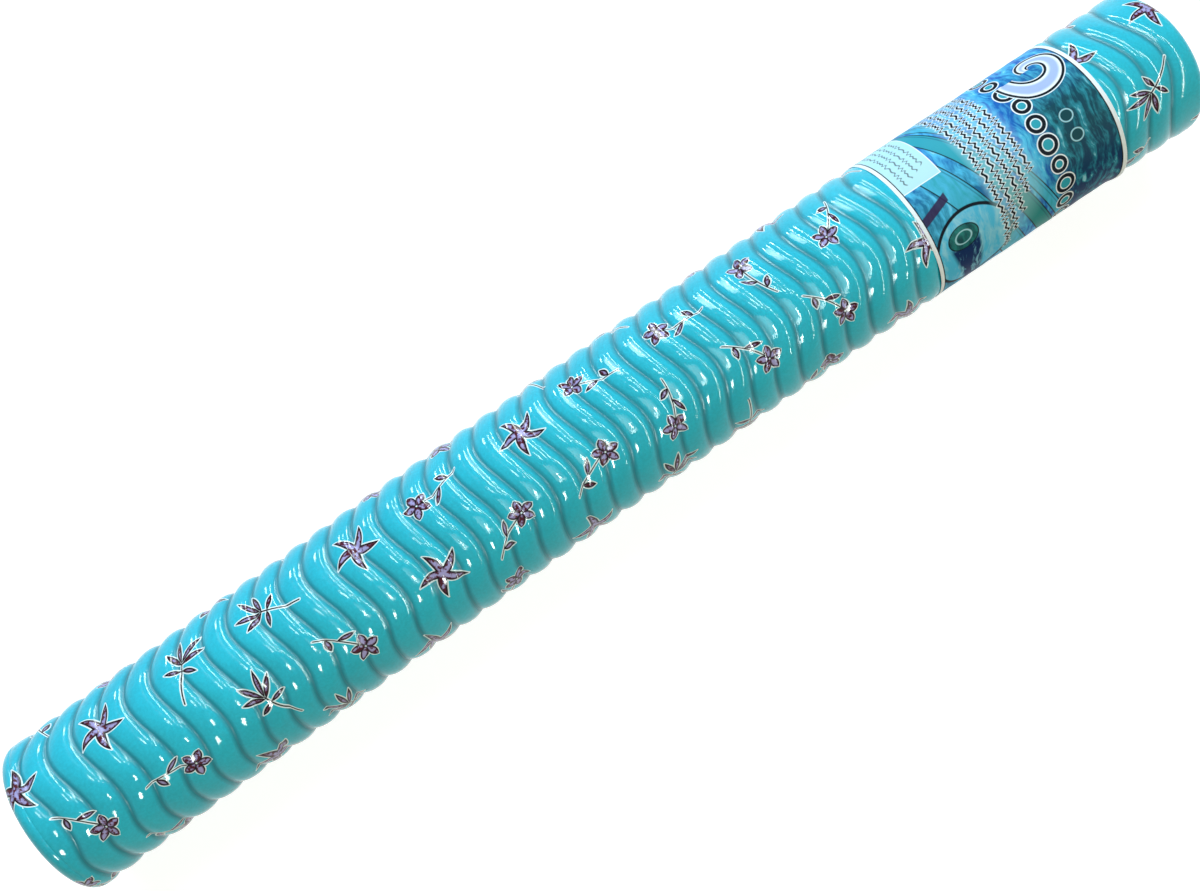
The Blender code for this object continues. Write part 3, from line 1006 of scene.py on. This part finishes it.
def addLamp(name, tilts, spans, level, colour, shine=False, aim=0.0, distance=4.0, beam=90.0):
    # a flat lamp seen from the noodle's axis at the place aim, at two tilts in degrees: along from straight
    # up towards +X, and sideways towards -Y. Its spans are angles too, and its level is how bright its face
    # is. The beam is the angle from straight ahead where its light ends, and it fades with the tangent.
    # A shining lamp only makes highlights, and the others only light the colours
    along, sideways = (math.radians(tilt) for tilt in tilts)
    upright = math.cos(along)
    towards = Vector((math.sin(along), -upright * math.sin(sideways), upright * math.cos(sideways)))
    light = bpy.data.lights.new(name, "AREA")
    light.shape = "RECTANGLE"
    light.size, light.size_y = (2 * distance * math.tan(math.radians(span) / 2) for span in spans)
    light.energy = level * math.pi * light.size * light.size_y
    if beam < 90:
        edge = math.radians(beam)
        light.spread = 2 * edge
        light.energy *= 1 - edge / math.tan(edge)
    light.color = colour
    lamp = newObject(name, light)
    alongAxis = (Vector((1, 0, 0)) - towards * towards.x).normalized()
    sideAxis = towards.cross(alongAxis)
    turned = Matrix((alongAxis, sideAxis, towards)).transposed().to_4x4()
    aimedAt = Vector((aim, 0, noodle["axisHeight"]))
    lamp.matrix_world = Matrix.Translation(aimedAt + towards * distance) @ turned
    lamp.visible_diffuse, lamp.visible_glossy = not shine, shine


cool, warm, pale = (0.78, 0.98, 1.12), (1.02, 1.0, 0.76), (0.92, 1.04, 1.0)
softLamps = {                # tilts, spans, level and colour
    "softBack": ((-6, -50), (40, 60), 2.3, cool),
    "softSide": ((25, -50), (40, 60), 2.7, cool),
    "softFront": ((-6, 38), (40, 40), 1.95, warm),
    "softEnd": ((30, 40), (30, 40), 1.0, warm),
}
shiningLamps = {             # tilts, spans and level, and for the near ones aim, distance and beam
    "tallStrip": ((-6, -50), (5.5, 88), 40.0),
    "thinStrip": ((12, -46), (2.4, 84), 48.0),
    "farStrip": ((26, -50), (2.4, 95), 48.0),
    "sideSpot": ((-21, 51), (10, 8), 85.0),
    "topSpot": ((-3, 25), (7, 9), 72.0),
    "edgeStrip": ((33, 35), (2.4, 80), 50.0),
    "farPanel": ((-1, -60), (19, 36), 34.0, 0.15, 0.7, 30),
    "dimPanel": ((-17, 18), (32, 24), 11.0, 0.13, 0.8, 32),
    "panelEdge": ((-14, 31), (26, 4), 40.0, 0.13, 0.8, 32),
}
makeFloor()
makeWorld()
for name, settings in softLamps.items():
    addLamp(name, *settings)
for name, (tilts, spans, level, *near) in shiningLamps.items():
    addLamp(name, tilts, spans, level, pale, True, *near)

view = {
    "place": (-0.13292, -0.15215, 1.28803),
    "target": (-0.02723, -0.00619, 0.07),
    "roll": 0.01631,
    "lens": 42.553,
    "sensor": 36.0,
}


def makeCamera():
    # looks from its place at the target, turned about that line by the roll
    data = bpy.data.cameras.new("photoView")
    data.lens, data.sensor_width = view["lens"], view["sensor"]
    data.clip_start, data.clip_end = 0.05, 100
    camera = newObject("photoView", data)
    ahead = (Vector(view["target"]) - Vector(view["place"])).normalized()
    level = ahead.cross(Vector((0, 0, 1))).normalized()
    up = level.cross(ahead)
    c, s = math.cos(view["roll"]), math.sin(view["roll"])
    right, top = level * c + up * s, up * c - level * s
    turned = Matrix((right, top, -ahead)).transposed().to_4x4()
    camera.matrix_world = Matrix.Translation(view["place"]) @ turned
    bpy.context.scene.camera = camera


makeCamera()
bpy.context.scene.view_settings.view_transform = "Standard"
print("stage made")
